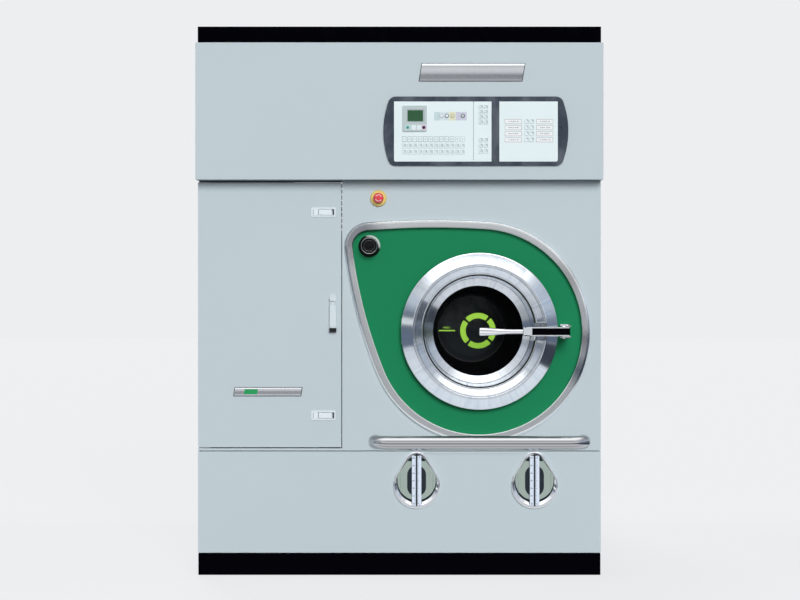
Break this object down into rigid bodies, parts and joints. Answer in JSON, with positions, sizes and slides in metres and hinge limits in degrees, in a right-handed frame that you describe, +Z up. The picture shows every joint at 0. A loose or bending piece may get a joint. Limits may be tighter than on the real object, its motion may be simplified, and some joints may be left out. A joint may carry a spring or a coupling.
{
  "type": "dry cleaning machine",
  "caption": "Floor-standing dry cleaning machine with a round glass loading door in a teardrop panel, a lever lock, a service door, level gauges and a front rail.",
  "frame": {"origin": "on the floor, under the middle of the overall box", "axes": "+Z up, -Y towards the front with the loading door, +X to the right as seen from the front"},
  "size_m": [1.456, 1.715, 1.973],
  "materials": {
    "cabinet_grey": "smooth grey-blue paint",
    "black_paint": "satin black paint",
    "frame_steel": "zinc grey paint",
    "green_paint": "satin green paint",
    "polished_steel": "polished stainless steel",
    "stainless": "brushed stainless steel",
    "chrome": "bright chrome",
    "dark_glass": "dark tinted glass",
    "gauge_glass": "dark glass",
    "rubber": "matte black rubber",
    "black_plastic": "glossy black plastic",
    "white_plastic": "matte white plastic",
    "plate_green": "grey-green plate",
    "screen": "display with a green screen",
    "stop_red": "red plastic",
    "stop_yellow": "yellow plastic",
    "button_white": "white button",
    "button_yellow": "yellow button",
    "button_lilac": "lilac button",
    "machine_paint": "blue-grey machine enamel",
    "cast_metal": "painted cast iron",
    "brass_fittings": "plain brass"
  },
  "bodies": {
    "cabinet": {"base_tray": "black_paint", "frame": "frame_steel", "side_panel_left": "cabinet_grey", "side_panel_right": "cabinet_grey", "rear_panel": "cabinet_grey", "top_cover": "black_paint", "header_panel": "cabinet_grey", "front_panel": "cabinet_grey", "lower_panel": "cabinet_grey", "trim_frame": "polished_steel", "green_panel": "green_paint", "control_bezel": "black_plastic", "key_plate": "white_plastic", "label_plate": "white_plastic", "display": "screen", "front_rail": "chrome", "gauge_bezels": "chrome", "gauge_plates": "plate_green", "gauge_glass": "gauge_glass", "gauge_scales": "white_plastic", "filler_neck": "chrome", "hinge_fixings": "stainless", "door_keeper": "chrome", "estop_collar": "stop_yellow", "tub": "stainless", "bearing_housing": "cast_metal", "drive_motor": "machine_paint", "drive_belt": "rubber", "solvent_tanks": "stainless", "still": "stainless", "filter_housing": "machine_paint", "fan_housing": "stainless", "compressor": "black_paint", "solvent_pump": "machine_paint", "connections": "brass_fittings"},
    "loading_door": {"door_ring": "polished_steel", "door_glass": "dark_glass", "door_gasket": "rubber", "door_hinge_leaf": "stainless", "lever_bracket": "chrome"},
    "door_lever": {"lever_arm": "black_plastic", "lever_grip": "chrome"},
    "service_door": {"service_door": "cabinet_grey", "latch_housings": "chrome", "handle_base": "black_plastic"},
    "handle_hub": {"handle_hub": "chrome"},
    "handle_lever": {"handle_lever": "chrome"},
    "latch_top": {"latch_paddle_top": "stainless"},
    "latch_bottom": {"latch_paddle_bottom": "stainless"},
    "stop_stem": {"estop_stem": "black_plastic"},
    "stop_head": {"estop_head": "stop_red"},
    "button_1": {"button_1": "button_white"},
    "button_2": {"button_2": "button_yellow"},
    "button_3": {"button_3": "button_lilac"},
    "button_4": {"button_4": "button_white"},
    "filler_cap": {"filler_cap": "black_plastic"},
    "drum": {"drum": "stainless", "drum_pulley": "cast_metal"},
    "motor_pulley": {"motor_pulley": "cast_metal"},
    "fan_wheel": {"fan_wheel": "stainless"}
  },
  "joints": [
    {"name": "door_swing", "type": "hinge", "parent": "cabinet", "child": "loading_door", "pos_m": [0.016, -0.7445, 0.878], "axis": [0, 0, -1], "range_deg": [0, 105]},
    {"name": "lever_pull", "type": "hinge", "parent": "loading_door", "child": "door_lever", "pos_m": [0.499, -0.8425, 0.878], "axis": [0, 0, 1], "range_deg": [0, 25]},
    {"name": "service_swing", "type": "hinge", "parent": "cabinet", "child": "service_door", "pos_m": [-0.713, -0.7205, 0.9365], "axis": [0, 0, -1], "range_deg": [0, 105]},
    {"name": "handle_turn", "type": "hinge", "parent": "service_door", "child": "handle_hub", "pos_m": [-0.239, -0.7405, 0.9955], "axis": [0, 1, 0], "range_deg": [0, 90]},
    {"name": "handle_lift", "type": "hinge", "parent": "handle_hub", "child": "handle_lever", "pos_m": [-0.239, -0.7433, 0.9805], "axis": [-1, 0, 0], "range_deg": [0, 25]},
    {"name": "latch_top_pull", "type": "hinge", "parent": "service_door", "child": "latch_top", "pos_m": [-0.289, -0.7318, 1.306], "axis": [0, 0, -1], "range_deg": [0, 35], "stiffness_Nm_per_rad": 0.05, "springref_deg": -11.46},
    {"name": "latch_bottom_pull", "type": "hinge", "parent": "service_door", "child": "latch_bottom", "pos_m": [-0.289, -0.7318, 0.575], "axis": [0, 0, -1], "range_deg": [0, 35], "stiffness_Nm_per_rad": 0.05, "springref_deg": -11.46},
    {"name": "stop_press", "type": "slide", "parent": "cabinet", "child": "stop_stem", "axis": [0, 1, 0], "range_m": [0, 0.005]},
    {"name": "stop_twist", "type": "hinge", "parent": "stop_stem", "child": "stop_head", "pos_m": [-0.075, -0.7565, 1.356], "axis": [0, 1, 0], "range_deg": [0, 45]},
    {"name": "button_1_press", "type": "slide", "parent": "cabinet", "child": "button_1", "axis": [0, 1, 0], "range_m": [0, 0.002], "stiffness_N_per_m": 300, "springref_m": -0.001},
    {"name": "button_2_press", "type": "slide", "parent": "cabinet", "child": "button_2", "axis": [0, 1, 0], "range_m": [0, 0.002], "stiffness_N_per_m": 300, "springref_m": -0.001},
    {"name": "button_3_press", "type": "slide", "parent": "cabinet", "child": "button_3", "axis": [0, 1, 0], "range_m": [0, 0.002], "stiffness_N_per_m": 300, "springref_m": -0.001},
    {"name": "button_4_press", "type": "slide", "parent": "cabinet", "child": "button_4", "axis": [0, 1, 0], "range_m": [0, 0.002], "stiffness_N_per_m": 300, "springref_m": -0.001},
    {"name": "filler_cap_turn", "type": "hinge", "parent": "cabinet", "child": "filler_cap", "pos_m": [-0.108, -0.7525, 1.184], "axis": [0, 1, 0], "range_deg": [0, 90]},
    {"name": "drum_spin", "type": "hinge", "parent": "cabinet", "child": "drum", "pos_m": [0.287, 0.1655, 0.878], "axis": [0, 1, 0], "continuous": true},
    {"name": "motor_spin", "type": "hinge", "parent": "cabinet", "child": "motor_pulley", "pos_m": [0.54, 0.2155, 0.33], "axis": [0, 1, 0], "continuous": true},
    {"name": "fan_spin", "type": "hinge", "parent": "cabinet", "child": "fan_wheel", "pos_m": [0.287, -0.2325, 1.618], "axis": [0, 1, 0], "continuous": true}
  ],
  "couplings": [
    {"joint": "motor_spin", "follows": "drum_spin", "ratio": 6.2222}
  ]
}
